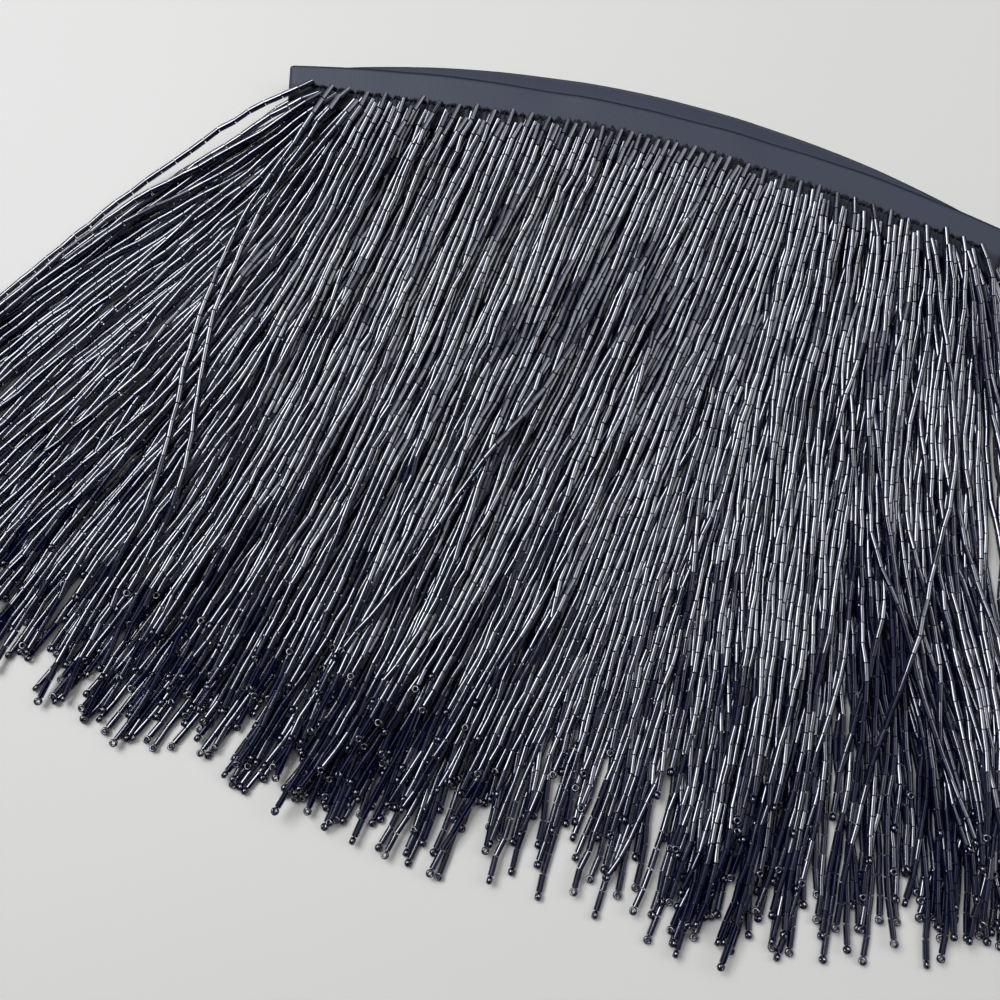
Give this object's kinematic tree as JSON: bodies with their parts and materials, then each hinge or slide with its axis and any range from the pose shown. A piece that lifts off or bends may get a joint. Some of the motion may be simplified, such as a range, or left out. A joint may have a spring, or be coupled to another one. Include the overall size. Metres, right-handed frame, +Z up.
{
  "type": "beaded fringe trim",
  "caption": "Satin ribbon folded back and forth, with a dense fringe of glass bugle bead strands combed to one side, laid flat.",
  "frame": {"origin": "middle of the footprint of the laid trim, on the floor that it rests on", "axes": "+Z up, +X along the ribbon to its right end, the strands hang towards -Y"},
  "size_m": [0.4588, 0.2698, 0.0141],
  "materials": {
    "ribbon_satin": "woven satin ribbon, slate black with a soft sheen",
    "bead_glass": "opaque black pressed glass, glossy",
    "sewing_thread": "black spun polyester sewing thread"
  },
  "bodies": {
    "root": {"ribbon": "ribbon_satin", "fringe_bottom": "bead_glass", "fringe_third": "bead_glass", "fringe_second": "bead_glass", "fringe_front": "bead_glass"}
  },
  "joints": []
}
